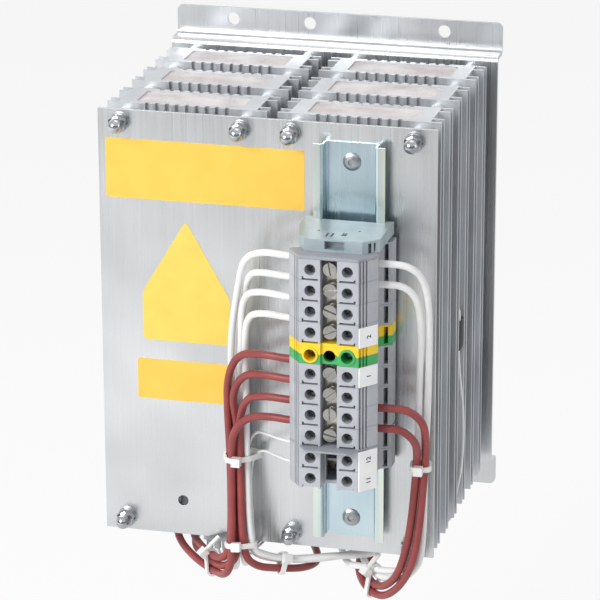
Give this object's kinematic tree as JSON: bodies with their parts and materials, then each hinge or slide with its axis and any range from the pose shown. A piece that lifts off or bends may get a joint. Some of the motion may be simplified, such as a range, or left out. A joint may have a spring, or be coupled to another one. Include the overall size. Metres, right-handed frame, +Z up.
{
  "type": "braking resistor",
  "caption": "Braking resistor: finned aluminium resistor bodies stacked between a folded back plate and a front plate with a rail of terminal blocks and bundled leads.",
  "frame": {"origin": "on the wall plane, in the middle of the four corner fixing holes", "axes": "+X to the viewer's right, +Y into the wall, +Z up"},
  "size_m": [0.171, 0.1983, 0.2595],
  "materials": {
    "plate_steel": "fine vertical brushing",
    "extruded_aluminium": "plain extruded",
    "cement": "rough cast cement",
    "sleeve_aluminium": "turned",
    "chromed_nuts": "bright plated",
    "zinc_steel": "zinc plated",
    "rivet_steel": "dull plated",
    "rail_zinc": "zinc plated, bluish",
    "terminal_grey": "moulded, fine grain",
    "terminal_green": "moulded, upper half yellow",
    "cover_grey": "moulded",
    "bracket_grey": "moulded",
    "tinned_copper": "tinned",
    "clamp_steel": "passivated",
    "screw_nickel": "nickel plated",
    "tag_white": "plain",
    "silicone_red": "silky silicone",
    "silicone_white": "silky silicone",
    "glass_sleeving": "varnished glass fibre",
    "switch_body": "shrink sleeve",
    "nylon_white": "natural nylon"
  },
  "bodies": {
    "root": {"back_plate": "plate_steel", "bridge_bars": "tinned_copper", "bridge_screws": "screw_nickel", "cable_ties": "nylon_white", "cap_nuts": "chromed_nuts", "clamp_cages": "clamp_steel", "clamp_screws": "clamp_steel", "current_bars": "tinned_copper", "din_rail": "rail_zinc", "earth_terminal": "terminal_green", "end_bracket": "bracket_grey", "end_cover": "cover_grey", "flat_washers": "zinc_steel", "front_plate": "plate_steel", "heatsink_left_front": "extruded_aluminium", "heatsink_left_middle": "extruded_aluminium", "heatsink_left_rear": "extruded_aluminium", "heatsink_right_front": "extruded_aluminium", "heatsink_right_middle": "extruded_aluminium", "heatsink_right_rear": "extruded_aluminium", "lead_red_left_1": "silicone_red", "lead_red_left_2": "silicone_red", "lead_red_left_3": "silicone_red", "lead_red_left_4": "silicone_red", "lead_red_right_1": "silicone_red", "lead_red_right_2": "silicone_red", "lead_sleeves": "glass_sleeving", "lead_white_left_1": "silicone_white", "lead_white_left_2": "silicone_white", "lead_white_left_3": "silicone_white", "lead_white_left_4": "silicone_white", "lead_white_right_1": "silicone_white", "lead_white_right_2": "silicone_white", "marker_tags": "tag_white", "partition_plate": "cover_grey", "rail_rivets": "rivet_steel", "rear_nuts": "zinc_steel", "resistor_core_left_front": "cement", "resistor_core_left_middle": "cement", "resistor_core_left_rear": "cement", "resistor_core_right_front": "cement", "resistor_core_right_middle": "cement", "resistor_core_right_rear": "cement", "sensor_lead_1": "silicone_white", "sensor_lead_2": "silicone_white", "spacer_sleeves": "sleeve_aluminium", "spring_washers": "zinc_steel", "terminal_01": "terminal_grey", "terminal_02": "terminal_grey", "terminal_03": "terminal_grey", "terminal_04": "terminal_grey", "terminal_06": "terminal_grey", "terminal_07": "terminal_grey", "terminal_08": "terminal_grey", "terminal_09": "terminal_grey", "terminal_10": "terminal_grey", "terminal_11": "terminal_grey", "thermal_switch": "switch_body", "tie_rods": "zinc_steel"}
  },
  "joints": []
}
